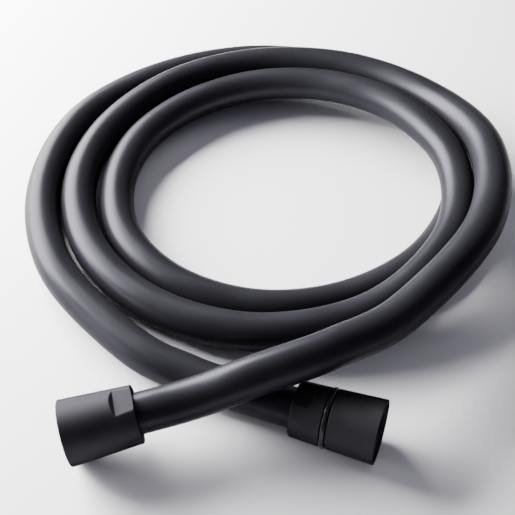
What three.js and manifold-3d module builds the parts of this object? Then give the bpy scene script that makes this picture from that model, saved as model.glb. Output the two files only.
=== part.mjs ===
// A smooth shower hose lying in three loose turns, with a one-piece coupling
// nut on its left end and a two-part swivel coupling on its right end.
//
// Millimetres, +Z up. Everything rests on z = 0. X runs to the right and Y away
// from someone who looks at the coil with both fittings in front of it. The
// origin is under the middle of the whole hose.
//
// Each fitting is turned about its own axis. Along that axis, positions are
// given as the distance from the fitting's rear face, where the hose goes in,
// towards its mouth, where a pipe nipple screws in.
import * as THREE from 'three';
import { mergeVertices } from 'three/addons/utils/BufferGeometryUtils.js';
import Module from 'manifold-3d';

const wasm = await Module();
wasm.setup();

// Gaps between neighbours
const SEAT_GAP = 0.3; // pieces that are pressed, crimped or laid together
const RUNNING_GAP = 0.3; // pieces that turn or slide past each other
const PASSAGE_EASE = 0.1; // more, where the bent hose or its ferrule passes
const REST_GAP = 0.04; // under the right fitting, where it lies on the table

// Hose
const HOSE_OD = 15;
const HOSE_BORE = 9;
const HOSE_SIDES = 12;
const HOSE_STEPS_PER_POINT = 2;

// Barbed tails that are pushed into the bore
const TAIL_LENGTH = 16;
const TAIL_BORE_R = 3;
const TAIL_STEM_R = 3.6;
const BARB_COUNT = 3;
const BARB_PITCH = 4.4;
const BARB_LEAD = 1; // plain stem before the first barb
const BARB_SLOPE = 0.7; // share of the pitch that rises

// Crimp ferrules over the hose ends
const FERRULE_WALL = 0.8;
const FERRULE_LIP = 0.8;

// G 1/2 inside thread of both mouths, cut to its crests
const THREAD_MINOR_R = 9.3;
const MOUTH_BEVEL_R = 10.5;
const MOUTH_BEVEL = 1;
const MOUTH_RIM_EDGE = 0.5; // outer edge of both mouths

// Sealing washers
const WASHER_R = 9;
const WASHER_THICKNESS = 2;

// Left coupling nut
const LEFT_LENGTH = 26;
const LEFT_REAR_R = 10.5;
const LEFT_MOUTH_R = 12;
const LEFT_REAR_WALL = 2.4;
const LEFT_REAR_EDGE = 0.4;
const LEFT_THREAD_LEAD = 0.5; // cone between the cavity and the thread
const LEFT_FLAT_LENGTH = 6.5;
const LEFT_ACROSS_FLATS = 19;
const LEFT_GRIP = 7.2; // length of hose end that the ferrule holds
const GLIDE_RING_THICKNESS = 0.9;
const GLIDE_RING_WALL = 0.9;
const FLANGE_R = 8.6;
const FLANGE_THICKNESS = 1.5;
const LEFT_WASHER_HOLE_R = 5;

// Right swivel coupling: rear body, slip ring and front sleeve
const RIGHT_LENGTH = 31.5;
const RIGHT_REAR_R = 10.25;
const RIGHT_MOUTH_R = 11.7;
const BODY_LENGTH = 11.6;
const BODY_REAR_WALL = 2.4;
const BODY_FLAT_LENGTH = 6;
const BODY_ACROSS_FLATS = 18.6;
const BODY_EDGE = 1;
const RIGHT_GRIP = 5.5;
const SLIP_RING_WIDTH = 1.7;
const SLIP_RING_PROUD = 0.4;
const SLIP_RING_EDGE = 0.3;
const SLEEVE_REAR_EDGE = 0.3;
const COLLAR_R = 9.3;
const COLLAR_NECK_R = 8.8;
const JOURNAL_R = 6;
const WEB_THICKNESS = 6.9;
const O_RING_SECTION = 1.2;
const O_RING_SQUEEZE = 0.1; // how far the ring stands proud of the journal
const O_RING_OFFSETS = [1.8, 4.9]; // groove middles, from the sleeve's rear face
const CLIP_THICKNESS = 0.8;
const CLIP_R = 7.2;
const CLIP_GROOVE_R = 5.2;
const CLIP_OPENING = 1.3; // radians
const JOURNAL_END = 0.8; // left beyond the clip's groove
const RIGHT_WASHER_HOLE_R = 7.6;

// Facets round a turned piece
const OUTER_FACETS = 48;
const INNER_FACETS = 36;

// Where the fittings lie, from the middle of the coil. A heading is the compass
// angle of the fitting's axis, from rear face to mouth, measured from +X.
const COIL_CENTRE = [0.51, 19.35];
const LEFT_REAR = [-43.9, -126.4];
const LEFT_HEADING = THREE.MathUtils.degToRad(193.5);
const LEFT_DROP = THREE.MathUtils.degToRad(6.9); // the mouth's rim is what rests
const RIGHT_REAR = [11.5, -121.2];
const RIGHT_HEADING = THREE.MathUtils.degToRad(-19.9);

// The coil: distance from its middle and height of the hose's middle, one pair
// for each 30 degrees, anticlockwise from the front right. The first turn
// climbs over the right-hand end of the hose and over the second turn, the
// second climbs over the third, and the third lies flat, inside at first and
// outside after it has passed under the other two.
const COIL_START = 300;
const COIL_STEP = 30;
const COIL_RADII = [
  105, 100.3, 96.3, 91.5, 87, 84.5, 82.6, 82, 81.5, 82, 84, 86.5,
  89.4, 88.7, 82.7, 75, 70.5, 68, 65.7, 65, 64.5, 66.4, 68.5, 71.5,
  75, 81, 89, 97, 98.5, 98, 97.3, 99.1, 97.5, 98.5, 103.1,
];
const COIL_HEIGHTS = [
  29, 33.5, 31, 22.5, 18.5, 15, 12.6, 9.5, 9, 8.5, 9.5, 11,
  15, 21.8, 22.8, 21.3, 17.5, 13.5, 10.5, 8.5, 7.7, 7.56, 7.52, 7.5,
  7.5, 7.5, 7.5, 7.5, 7.5, 7.5, 7.5, 7.52, 7.6, 7.9, 8,
];

// The free ends between coil and fittings, chosen by eye. The hose runs straight
// into both fittings, through points on their axes behind the rear faces.
const LEFT_STRAIGHT = [4, 14.4];
const RIGHT_STRAIGHT = [4.6];
const LEFT_END_ROUTE = [[-19.9, -120.9, 19.2], [-1.7, -117, 25.2], [25.1, -108.3, 29.2]];
const RIGHT_END_ROUTE = [[-25.9, -105, 7.9], [-8.9, -112.3, 8.6]];

// Materials
const matteBlack = new THREE.MeshStandardMaterial({ color: 0x131315, roughness: 0.6, metalness: 0.1 });
const satinBlackMetal = new THREE.MeshStandardMaterial({ color: 0x121213, roughness: 0.45, metalness: 0.6 });
const glossBlack = new THREE.MeshStandardMaterial({ color: 0x0a0a0b, roughness: 0.12, metalness: 0 });
const brass = new THREE.MeshStandardMaterial({ color: 0xb8944a, roughness: 0.35, metalness: 1 });
const steel = new THREE.MeshStandardMaterial({ color: 0xb9bcc0, roughness: 0.3, metalness: 1 });
const blackRubber = new THREE.MeshStandardMaterial({ color: 0x141414, roughness: 0.85, metalness: 0 });
const whitePlastic = new THREE.MeshStandardMaterial({ color: 0xe8e6df, roughness: 0.5, metalness: 0 });

function named(name, geometry, material) {
  const mesh = new THREE.Mesh(geometry, material);
  mesh.name = name;
  return mesh;
}

// Solid of revolution about +Y. The outline is a list of [radius, height] that
// runs up the outside and down the inside.
function turned(outline, facets) {
  const points = outline.map(([radius, height]) => new THREE.Vector2(radius, height));
  points.push(points[0].clone());
  return new THREE.LatheGeometry(points, facets);
}

function toManifold(geometry) {
  const bare = geometry.clone();
  bare.deleteAttribute('normal');
  bare.deleteAttribute('uv');
  const merged = mergeVertices(bare, 1e-4);
  const index = Array.from(merged.index.array);
  const triangles = [];
  for (let i = 0; i < index.length; i += 3) {
    const [a, b, c] = index.slice(i, i + 3);
    if (a !== b && b !== c && c !== a) triangles.push(a, b, c);
  }
  const mesh = new wasm.Mesh({
    numProp: 3,
    vertProperties: Float32Array.from(merged.attributes.position.array),
    triVerts: Uint32Array.from(triangles),
  });
  return new wasm.Manifold(mesh);
}

function toGeometry(solid) {
  const mesh = solid.getMesh();
  const geometry = new THREE.BufferGeometry();
  geometry.setAttribute('position', new THREE.BufferAttribute(Float32Array.from(mesh.vertProperties), 3));
  geometry.setIndex(new THREE.BufferAttribute(Uint32Array.from(mesh.triVerts), 1));
  geometry.computeVertexNormals();
  return geometry;
}

// Two opposite spanner flats, from the rear face to the given length. They face
// +Z and -Z of the fitting.
function withFlats(geometry, acrossFlats, length, outerRadius) {
  const reach = 2 * outerRadius;
  let solid = toManifold(geometry);
  for (const side of [1, -1]) {
    const cutter = new THREE.BoxGeometry(reach, reach + length, reach);
    cutter.translate(0, (length - reach) / 2, side * (acrossFlats + reach) / 2);
    solid = solid.subtract(toManifold(cutter));
  }
  return toGeometry(solid);
}

// Hose: a ring section swept along the route. Steps follow the route's points,
// so that neighbouring turns have their facets side by side.
class HoseRoute extends THREE.CatmullRomCurve3 {
  constructor(points) {
    super(points, false, 'catmullrom', 0.5);
  }

  getUtoTmapping(u) {
    return u;
  }
}

function ringPolygon(radius, sides) {
  return Array.from({ length: sides }, (unused, i) => {
    const angle = (2 * Math.PI * i) / sides;
    return new THREE.Vector2(radius * Math.cos(angle), radius * Math.sin(angle));
  });
}

function coilPoints() {
  return COIL_RADII.map((radius, i) => {
    const angle = THREE.MathUtils.degToRad(COIL_START + COIL_STEP * i);
    return new THREE.Vector3(radius * Math.cos(angle), radius * Math.sin(angle), COIL_HEIGHTS[i]);
  });
}

function hoseGeometry(leftEnd, rightEnd) {
  const points = [
    leftEnd.at(leftEnd.hoseEnd),
    ...LEFT_STRAIGHT.map((distance) => leftEnd.at(-distance)),
    ...LEFT_END_ROUTE.map((p) => new THREE.Vector3(...p)),
    ...coilPoints(),
    ...RIGHT_END_ROUTE.map((p) => new THREE.Vector3(...p)),
    ...RIGHT_STRAIGHT.map((distance) => rightEnd.at(-distance)),
    rightEnd.at(rightEnd.hoseEnd),
  ];
  const section = new THREE.Shape(ringPolygon(HOSE_OD / 2, HOSE_SIDES));
  section.holes.push(new THREE.Path(ringPolygon(HOSE_BORE / 2, HOSE_SIDES)));
  return new THREE.ExtrudeGeometry(section, {
    steps: HOSE_STEPS_PER_POINT * (points.length - 1),
    extrudePath: new HoseRoute(points),
    bevelEnabled: false,
  });
}

// Sizes that follow from the hose and that both fittings share
const PASSAGE_R = HOSE_OD / 2 + RUNNING_GAP + PASSAGE_EASE;
const FERRULE_BORE_R = HOSE_OD / 2 + SEAT_GAP;
const FERRULE_R = FERRULE_BORE_R + FERRULE_WALL;
const CAVITY_R = FERRULE_R + RUNNING_GAP + PASSAGE_EASE;
const BARB_R = (HOSE_BORE / 2) * Math.cos(Math.PI / HOSE_SIDES) - SEAT_GAP;

// Sleeve over the hose end, with a lip turned in behind the tail's flange
function ferrule(rear, hoseEnd) {
  const lipRear = hoseEnd + SEAT_GAP;
  const lipFront = lipRear + FERRULE_LIP;
  const lipR = TAIL_STEM_R + SEAT_GAP;
  return turned([
    [FERRULE_BORE_R, rear],
    [FERRULE_R, rear],
    [FERRULE_R, lipFront],
    [lipR, lipFront],
    [lipR, lipRear],
    [FERRULE_BORE_R, lipRear],
  ], INNER_FACETS);
}

// Outside of a barbed stem, from its tip inside the hose up to the given height
function barbedStem(hoseEnd, top) {
  const tip = hoseEnd - TAIL_LENGTH;
  const outline = [[TAIL_BORE_R, tip], [TAIL_STEM_R, tip]];
  for (let i = 0; i < BARB_COUNT; i += 1) {
    const barb = tip + BARB_LEAD + i * BARB_PITCH;
    const crest = barb + BARB_SLOPE * BARB_PITCH;
    outline.push([TAIL_STEM_R, barb], [BARB_R, crest], [TAIL_STEM_R, crest]);
  }
  outline.push([TAIL_STEM_R, top]);
  return outline;
}

function washer(rear, holeR) {
  return turned([
    [holeR, rear],
    [WASHER_R, rear],
    [WASHER_R, rear + WASHER_THICKNESS],
    [holeR, rear + WASHER_THICKNESS],
  ], INNER_FACETS);
}

// A fitting's frame: its local +Y is the axis from rear face to mouth, and its
// local Z points up as far as the axis allows.
function fittingFrame(rear, heading, drop, rearHeight, hoseEnd) {
  const axis = new THREE.Vector3(
    Math.cos(heading) * Math.cos(drop),
    Math.sin(heading) * Math.cos(drop),
    -Math.sin(drop),
  );
  const side = new THREE.Vector3().crossVectors(axis, new THREE.Vector3(0, 0, 1)).normalize();
  const up = new THREE.Vector3().crossVectors(side, axis);
  const group = new THREE.Group();
  group.quaternion.setFromRotationMatrix(new THREE.Matrix4().makeBasis(side, axis, up));
  group.position.set(rear[0], rear[1], rearHeight);
  const at = (height) => axis.clone().multiplyScalar(height).add(group.position);
  return { group, at, hoseEnd };
}

// Left fitting: glide ring, ferrule, flanged tail and washer inside a free nut
const glideRear = LEFT_REAR_WALL + SEAT_GAP;
const glideFront = glideRear + GLIDE_RING_THICKNESS;
const leftFerruleRear = glideFront + SEAT_GAP;
const leftHoseEnd = leftFerruleRear + LEFT_GRIP;
const flangeRear = leftHoseEnd + SEAT_GAP + FERRULE_LIP + SEAT_GAP;
const flangeFront = flangeRear + FLANGE_THICKNESS;
const leftWasherRear = flangeFront + SEAT_GAP;
const leftThreadStart = flangeFront;

function leftNut() {
  const body = turned([
    [PASSAGE_R, 0],
    [LEFT_REAR_R - LEFT_REAR_EDGE, 0],
    [LEFT_REAR_R, LEFT_REAR_EDGE],
    [LEFT_MOUTH_R, LEFT_LENGTH - MOUTH_RIM_EDGE],
    [LEFT_MOUTH_R - MOUTH_RIM_EDGE, LEFT_LENGTH],
    [MOUTH_BEVEL_R, LEFT_LENGTH],
    [THREAD_MINOR_R, LEFT_LENGTH - MOUTH_BEVEL],
    [THREAD_MINOR_R, leftThreadStart],
    [CAVITY_R, leftThreadStart - LEFT_THREAD_LEAD],
    [CAVITY_R, LEFT_REAR_WALL],
    [PASSAGE_R, LEFT_REAR_WALL],
  ], OUTER_FACETS);
  return withFlats(body, LEFT_ACROSS_FLATS, LEFT_FLAT_LENGTH, LEFT_MOUTH_R);
}

function glideRing() {
  return turned([
    [PASSAGE_R, glideRear],
    [PASSAGE_R + GLIDE_RING_WALL, glideRear],
    [PASSAGE_R + GLIDE_RING_WALL, glideFront],
    [PASSAGE_R, glideFront],
  ], INNER_FACETS);
}

function flangedTail() {
  return turned([
    ...barbedStem(leftHoseEnd, flangeRear),
    [FLANGE_R, flangeRear],
    [FLANGE_R, flangeFront],
    [TAIL_BORE_R, flangeFront],
  ], INNER_FACETS);
}

function leftFitting() {
  const rearHeight = LEFT_MOUTH_R * Math.cos(LEFT_DROP) + LEFT_LENGTH * Math.sin(LEFT_DROP);
  const fitting = fittingFrame(LEFT_REAR, LEFT_HEADING, LEFT_DROP, rearHeight, leftHoseEnd);
  fitting.group.add(
    named('left_coupling_nut', leftNut(), satinBlackMetal),
    named('left_glide_ring', glideRing(), whitePlastic),
    named('left_crimp_ferrule', ferrule(leftFerruleRear, leftHoseEnd), steel),
    named('left_tail_insert', flangedTail(), brass),
    named('left_sealing_washer', washer(leftWasherRear, LEFT_WASHER_HOLE_R), blackRubber),
  );
  return fitting;
}

// Right fitting: the rear body is screwed on the spindle's collar over the
// ferrule, and the front sleeve turns on the spindle's journal
const rightFerruleRear = BODY_REAR_WALL + SEAT_GAP;
const rightHoseEnd = rightFerruleRear + RIGHT_GRIP;
const collarRear = rightHoseEnd + SEAT_GAP + FERRULE_LIP + SEAT_GAP;
const slipRingRear = BODY_LENGTH + SEAT_GAP;
const slipRingFront = slipRingRear + SLIP_RING_WIDTH;
const sleeveRear = slipRingFront + RUNNING_GAP;
const collarFront = sleeveRear - RUNNING_GAP;
const webFront = sleeveRear + WEB_THICKNESS;
const clipRear = webFront + RUNNING_GAP;
const clipFront = clipRear + CLIP_THICKNESS;
const journalFront = clipFront + RUNNING_GAP + JOURNAL_END;
const rightWasherRear = webFront + SEAT_GAP;
const journalBoreR = JOURNAL_R + RUNNING_GAP;
const slipRingR = coneRadius(BODY_LENGTH) + SLIP_RING_PROUD;

// Outside radius of the right fitting's even taper
function coneRadius(height) {
  return RIGHT_REAR_R + ((RIGHT_MOUTH_R - RIGHT_REAR_R) * height) / RIGHT_LENGTH;
}

function swivelBody() {
  const rounded = [];
  const cornerR = coneRadius(0) - BODY_EDGE;
  for (const degrees of [0, 30, 60, 90]) {
    const angle = THREE.MathUtils.degToRad(degrees);
    rounded.push([cornerR + BODY_EDGE * Math.sin(angle), BODY_EDGE * (1 - Math.cos(angle))]);
  }
  const body = turned([
    [FERRULE_BORE_R, 0],
    ...rounded,
    [coneRadius(BODY_LENGTH), BODY_LENGTH],
    [COLLAR_R + SEAT_GAP, BODY_LENGTH],
    [COLLAR_R + SEAT_GAP, collarRear - SEAT_GAP],
    [FERRULE_R + SEAT_GAP, collarRear - SEAT_GAP],
    [FERRULE_R + SEAT_GAP, BODY_REAR_WALL],
    [FERRULE_BORE_R, BODY_REAR_WALL],
  ], OUTER_FACETS);
  return withFlats(body, BODY_ACROSS_FLATS, BODY_FLAT_LENGTH, RIGHT_REAR_R);
}

function slipRing() {
  const innerR = COLLAR_NECK_R + SEAT_GAP;
  return turned([
    [innerR, slipRingRear],
    [slipRingR - SLIP_RING_EDGE, slipRingRear],
    [slipRingR, slipRingRear + SLIP_RING_EDGE],
    [slipRingR, slipRingFront - SLIP_RING_EDGE],
    [slipRingR - SLIP_RING_EDGE, slipRingFront],
    [innerR, slipRingFront],
  ], OUTER_FACETS);
}

function oRingMiddles() {
  return O_RING_OFFSETS.map((offset) => sleeveRear + offset);
}

const oRingOuterR = JOURNAL_R + O_RING_SQUEEZE;
const oRingMiddleR = oRingOuterR - O_RING_SECTION / 2;
const oRingGrooveR = oRingOuterR - O_RING_SECTION - SEAT_GAP;
const oRingGrooveHalf = O_RING_SECTION / 2 + SEAT_GAP;

function swivelSpindle() {
  const grooves = oRingMiddles().flatMap((middle) => [
    [JOURNAL_R, middle - oRingGrooveHalf],
    [oRingGrooveR, middle - oRingGrooveHalf],
    [oRingGrooveR, middle + oRingGrooveHalf],
    [JOURNAL_R, middle + oRingGrooveHalf],
  ]);
  return turned([
    ...barbedStem(rightHoseEnd, collarRear),
    [COLLAR_R, collarRear],
    [COLLAR_R, BODY_LENGTH],
    [COLLAR_NECK_R, BODY_LENGTH],
    [COLLAR_NECK_R, collarFront],
    [JOURNAL_R, collarFront],
    ...grooves,
    [JOURNAL_R, clipRear - SEAT_GAP],
    [CLIP_GROOVE_R, clipRear - SEAT_GAP],
    [CLIP_GROOVE_R, clipFront + SEAT_GAP],
    [JOURNAL_R, clipFront + SEAT_GAP],
    [JOURNAL_R, journalFront],
    [TAIL_BORE_R, journalFront],
  ], INNER_FACETS);
}

function oRing(middle) {
  const section = ringPolygon(O_RING_SECTION / 2, 8);
  return turned(section.map((p) => [oRingMiddleR + p.x, middle + p.y]), INNER_FACETS);
}

// Open spring ring, lying across the axis in the journal's end groove
function retainingClip() {
  const innerR = CLIP_GROOVE_R + SEAT_GAP;
  const first = CLIP_OPENING / 2;
  const last = 2 * Math.PI - first;
  const outline = new THREE.Shape();
  outline.absarc(0, 0, CLIP_R, first, last, false);
  outline.absarc(0, 0, innerR, last, first, true);
  const geometry = new THREE.ExtrudeGeometry(outline, {
    depth: CLIP_THICKNESS,
    bevelEnabled: false,
    curveSegments: INNER_FACETS / 2,
  });
  geometry.rotateX(-Math.PI / 2);
  geometry.translate(0, clipRear, 0);
  return geometry;
}

function couplingSleeve() {
  const rimStart = RIGHT_LENGTH - MOUTH_RIM_EDGE;
  return turned([
    [journalBoreR, sleeveRear],
    [coneRadius(sleeveRear) - SLEEVE_REAR_EDGE, sleeveRear],
    [coneRadius(sleeveRear), sleeveRear + SLEEVE_REAR_EDGE],
    [coneRadius(rimStart), rimStart],
    [RIGHT_MOUTH_R - MOUTH_RIM_EDGE, RIGHT_LENGTH],
    [MOUTH_BEVEL_R, RIGHT_LENGTH],
    [THREAD_MINOR_R, RIGHT_LENGTH - MOUTH_BEVEL],
    [THREAD_MINOR_R, webFront],
    [journalBoreR, webFront],
  ], OUTER_FACETS);
}

function rightFitting() {
  const rimStart = RIGHT_LENGTH - MOUTH_RIM_EDGE;
  const span = rimStart - slipRingFront;
  const rise = Math.atan((coneRadius(rimStart) - slipRingR) / span);
  const rearHeight = slipRingR / Math.cos(rise) - slipRingFront * Math.sin(rise) + REST_GAP;
  const fitting = fittingFrame(RIGHT_REAR, RIGHT_HEADING, -rise, rearHeight, rightHoseEnd);
  const [rearGroove, frontGroove] = oRingMiddles();
  fitting.group.add(
    named('right_swivel_body', swivelBody(), satinBlackMetal),
    named('right_crimp_ferrule', ferrule(rightFerruleRear, rightHoseEnd), steel),
    named('right_slip_ring', slipRing(), glossBlack),
    named('right_swivel_spindle', swivelSpindle(), brass),
    named('right_rear_o_ring', oRing(rearGroove), blackRubber),
    named('right_front_o_ring', oRing(frontGroove), blackRubber),
    named('right_retaining_clip', retainingClip(), steel),
    named('right_coupling_sleeve', couplingSleeve(), satinBlackMetal),
    named('right_sealing_washer', washer(rightWasherRear, RIGHT_WASHER_HOLE_R), blackRubber),
  );
  return fitting;
}

const left = leftFitting();
const right = rightFitting();
const showerHose = new THREE.Group();
showerHose.name = 'shower_hose';
showerHose.add(named('hose', hoseGeometry(left, right), matteBlack), left.group, right.group);
showerHose.position.set(COIL_CENTRE[0], COIL_CENTRE[1], 0);

export default showerHose;
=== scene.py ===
"""Shower hose: a smooth satin-black hose in three loose turns, with a tapered
coupling nut on its left end and a swivel coupling on its right end.

Metres, +Z up. X runs to the right and Y away from someone who has both
fittings in front. The origin is under the middle of the whole hose.
"""
import math

import bpy
import numpy as np
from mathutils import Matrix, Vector


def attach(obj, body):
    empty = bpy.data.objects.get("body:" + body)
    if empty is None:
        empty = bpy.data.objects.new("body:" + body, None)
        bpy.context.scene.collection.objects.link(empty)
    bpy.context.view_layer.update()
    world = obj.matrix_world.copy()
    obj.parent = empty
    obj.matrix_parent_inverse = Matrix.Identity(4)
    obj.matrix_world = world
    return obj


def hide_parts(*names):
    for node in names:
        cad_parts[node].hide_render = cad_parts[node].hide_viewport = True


bl_info = {
    "name": "Shower Hose",
    "version": (1, 0, 0),
    "blender": (4, 5, 0),
    "location": "3D View > Sidebar > Shower Hose",
    "description": "Lays a shower hose in loose turns and dresses its two fittings",
    "category": "Add Mesh",
}

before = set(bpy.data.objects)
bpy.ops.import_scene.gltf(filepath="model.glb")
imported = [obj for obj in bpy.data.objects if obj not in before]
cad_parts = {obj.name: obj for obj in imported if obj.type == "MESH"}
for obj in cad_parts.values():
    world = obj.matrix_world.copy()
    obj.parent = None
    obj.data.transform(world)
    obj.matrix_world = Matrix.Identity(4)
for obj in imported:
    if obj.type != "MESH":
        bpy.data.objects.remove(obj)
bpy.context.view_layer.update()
MM = 0.001

# Where the hose and its fittings lie, in millimetres from the middle of the
# coil, as in the CAD source. Headings run from a fitting's rear face, where the
# hose goes in, to its mouth.
COIL_CENTRE = (0.51, 19.35)
LEFT_REAR = (-43.9, -126.4)
LEFT_HEADING = math.radians(193.5)
LEFT_DROP = math.radians(6.9)
RIGHT_REAR = (11.5, -121.2)
RIGHT_HEADING = math.radians(-19.9)

COIL_START = 300
COIL_STEP = 30
COIL_RADII = (
    105, 100.3, 96.3, 91.5, 87, 84.5, 82.6, 82, 81.5, 82, 84, 86.5,
    89.4, 88.7, 82.7, 75, 70.5, 68, 65.7, 65, 64.5, 66.4, 68.5, 71.5,
    75, 81, 89, 97, 98.5, 98, 97.3, 99.1, 97.5, 98.5, 103.1,
)
COIL_HEIGHTS = (
    29, 33.5, 31, 22.5, 18.5, 15, 12.6, 9.5, 9, 8.5, 9.5, 11,
    15, 21.8, 22.8, 21.3, 17.5, 13.5, 10.5, 8.5, 7.7, 7.56, 7.52, 7.5,
    7.5, 7.5, 7.5, 7.5, 7.5, 7.5, 7.5, 7.52, 7.6, 7.9, 8,
)
LEFT_STRAIGHT = (4, 14.4)
RIGHT_STRAIGHT = (4.6,)
LEFT_END_ROUTE = ((-19.9, -120.9, 19.2), (-1.7, -117, 25.2), (25.1, -108.3, 29.2))
RIGHT_END_ROUTE = ((-25.9, -105, 7.9), (-8.9, -112.3, 8.6))

# Sizes along and across the fittings, in millimetres, as in the CAD source. The
# clip's half opening is an angle, in radians.
SEAT_GAP = 0.3
REST_GAP = 0.04
HOSE_OD = 15.0
PASSAGE_R = 7.9
CAVITY_R = 9.0
THREAD_CREST_R = 9.3
THREAD_ROOT_R = 10.45
THREAD_PITCH = 1.814
MOUTH_BEVEL_R = 10.5
WASHER_R = 9.0
WASHER_THICKNESS = 2.0
TAIL_LENGTH = 16.0
TAIL_BORE_R = 3.0
TAIL_STEM_R = 3.6
BARB_START = 1.0
BARB_PITCH = 4.4
BARB_RISE = 0.7 * BARB_PITCH
BARB_R = 4.05
FERRULE_WALL = 0.8

LEFT_LENGTH = 26.0
LEFT_REAR_R = 10.5
LEFT_MOUTH_R = 12.0
LEFT_REAR_WALL = 2.4
LEFT_FLAT_LENGTH = 6.5
LEFT_HALF_FLATS = 9.5
LEFT_HOSE_END = 11.1
FLANGE_REAR = 12.5
FLANGE_FRONT = 14.0
FLANGE_R = 8.6
LEFT_WASHER_HOLE_R = 5.0

RIGHT_LENGTH = 31.5
RIGHT_REAR_R = 10.25
RIGHT_MOUTH_R = 11.7
BODY_LENGTH = 11.6
BODY_REAR_WALL = 2.4
BODY_FLAT_LENGTH = 6.0
BODY_HALF_FLATS = 9.3
RIGHT_HOSE_END = 8.2
COLLAR_REAR = 9.6
COLLAR_R = 9.3
COLLAR_NECK_R = 8.8
SLIP_RING_REAR = 11.9
SLIP_RING_FRONT = 13.6
SLIP_RING_PROUD = 0.4
SLEEVE_REAR = 13.9
WEB_FRONT = 20.8
JOURNAL_R = 6.0
JOURNAL_BORE_R = 6.3
JOURNAL_END = 23.0
CLIP_REAR = 21.1
CLIP_FRONT = 21.9
CLIP_R = 7.2
CLIP_GROOVE_R = 5.2
CLIP_HALF_OPENING = 0.65
RIGHT_WASHER_HOLE_R = 7.6
O_RING_MIDDLES = (15.7, 18.8)
O_RING_GROOVE_HALF = 0.9
O_RING_GROOVE_DEPTH = 1.4

# Rounds on the edges of the turned pieces, and the reliefs beside the threads,
# in millimetres
FINE_ROUND = 0.1
REAR_HOLE_ROUND = 0.15
BODY_REAR_ROUND = 1.3
SLIP_RING_ROUND = 0.6
STEM_ROUND = 0.08
WASHER_ROUND = 0.2
RELIEF_ROUND = 0.2
CLIP_ROUND = 0.15
NUT_RELIEF = 0.5
WEB_RELIEF = 0.6
MOUTH_RELIEF = 0.1

# How closely the skins are drawn: rows along the axis in millimetres, columns
# round it as counts. A rounded corner takes CORNER_HALF_ROWS rows to its middle.
CORNER_HALF_ROWS = 4
FLAT_ROW_STEP = 0.16
FLAT_ROWS_PAST = 3.2
NUT_ROWS_START = 0.6
BODY_ROWS_START = 1.8
THREAD_ROW_STEP = 0.14
FLAT_SPREAD = math.radians(36)
FLAT_COLUMNS = 90
PLAIN_COLUMNS = 34
STEM_COLUMNS = 96
WASHER_COLUMNS = 120
CLIP_COLUMNS = 120
SLIP_RING_COLUMNS = 160
SHARP_EDGE = math.radians(38)

# Where the camera stands and what it looks at, which is a point in front of the
# coil's middle
CAMERA_TARGET = ((COIL_CENTRE[0] - 2) * MM, (COIL_CENTRE[1] - 44) * MM, 7.5 * MM)
CAMERA_DISTANCE = 387.3 * MM
CAMERA_ELEVATION = math.radians(46.55)
CAMERA_FOCAL_PX = 929.8
IMAGE_PX = 515
SENSOR_MM = 36

# The room, in metres: where each light stands, with its width and height. All
# three face one point on the table.
LIGHT_AIM = (0.0, -0.03, 0.0)
WINDOW_PLACE = (-0.45, 0.32, 0.23)
WINDOW_SIZE = (0.6, 0.405)
LEFT_WALL_PLACE = (-0.87, 0.03, 0.21)
LEFT_WALL_SIZE = (0.9, 0.3)
BACK_WALL_PLACE = (0.76, 0.69, 0.97)
BACK_WALL_SIZE = (1.18, 1.18)
ROOM_COLOUR = (0.8, 0.76, 1.0)
TABLE_HALF = 3.0
TABLE_LINES = 13


def right_cone_radius(along):
    """Outside radius of the right fitting's even taper, in millimetres."""
    return RIGHT_REAR_R + (RIGHT_MOUTH_R - RIGHT_REAR_R) * along / RIGHT_LENGTH


# The right fitting rests on the slip ring and on a line just behind its mouth.
# The left one rests on its mouth alone, because the hose holds its rear up.
SLIP_RING_R = right_cone_radius(BODY_LENGTH) + SLIP_RING_PROUD
RIGHT_REST = RIGHT_LENGTH - 0.5
RIGHT_RISE = math.atan(
    (right_cone_radius(RIGHT_REST) - SLIP_RING_R) / (RIGHT_REST - SLIP_RING_FRONT)
)
LEFT_REAR_HEIGHT = LEFT_MOUTH_R * math.cos(LEFT_DROP) + LEFT_LENGTH * math.sin(LEFT_DROP)
RIGHT_REAR_HEIGHT = (
    SLIP_RING_R / math.cos(RIGHT_RISE) - SLIP_RING_FRONT * math.sin(RIGHT_RISE) + REST_GAP
)


class FittingFrame:
    """Axis of a fitting, with the directions beside it and above it, in metres."""

    def __init__(self, rear, heading, drop, rear_height):
        level = math.cos(drop)
        self.axis = np.array(
            (math.cos(heading) * level, math.sin(heading) * level, -math.sin(drop))
        )
        side = np.cross(self.axis, (0, 0, 1))
        self.side = side / np.linalg.norm(side)
        self.up = np.cross(self.side, self.axis)
        across, deep = rear[0] + COIL_CENTRE[0], rear[1] + COIL_CENTRE[1]
        self.rear = np.array((across, deep, rear_height)) * MM

    def at(self, along):
        """Point on the axis, a distance in millimetres from the rear face."""
        return self.rear + self.axis * along * MM

    def around(self, radius, along, turn):
        """Points at a radius and a turn about the axis, counted from above, whole
        arrays at once: rear + axis times along + radius times (up times cosine of
        the turn + side times sine of the turn)."""
        outward = self.up * np.cos(turn)[..., None] + self.side * np.sin(turn)[..., None]
        return self.rear + (self.axis * along[..., None] + outward * radius[..., None]) * MM


LEFT = FittingFrame(LEFT_REAR, LEFT_HEADING, LEFT_DROP, LEFT_REAR_HEIGHT)
RIGHT = FittingFrame(RIGHT_REAR, RIGHT_HEADING, -RIGHT_RISE, RIGHT_REAR_HEIGHT)


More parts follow.
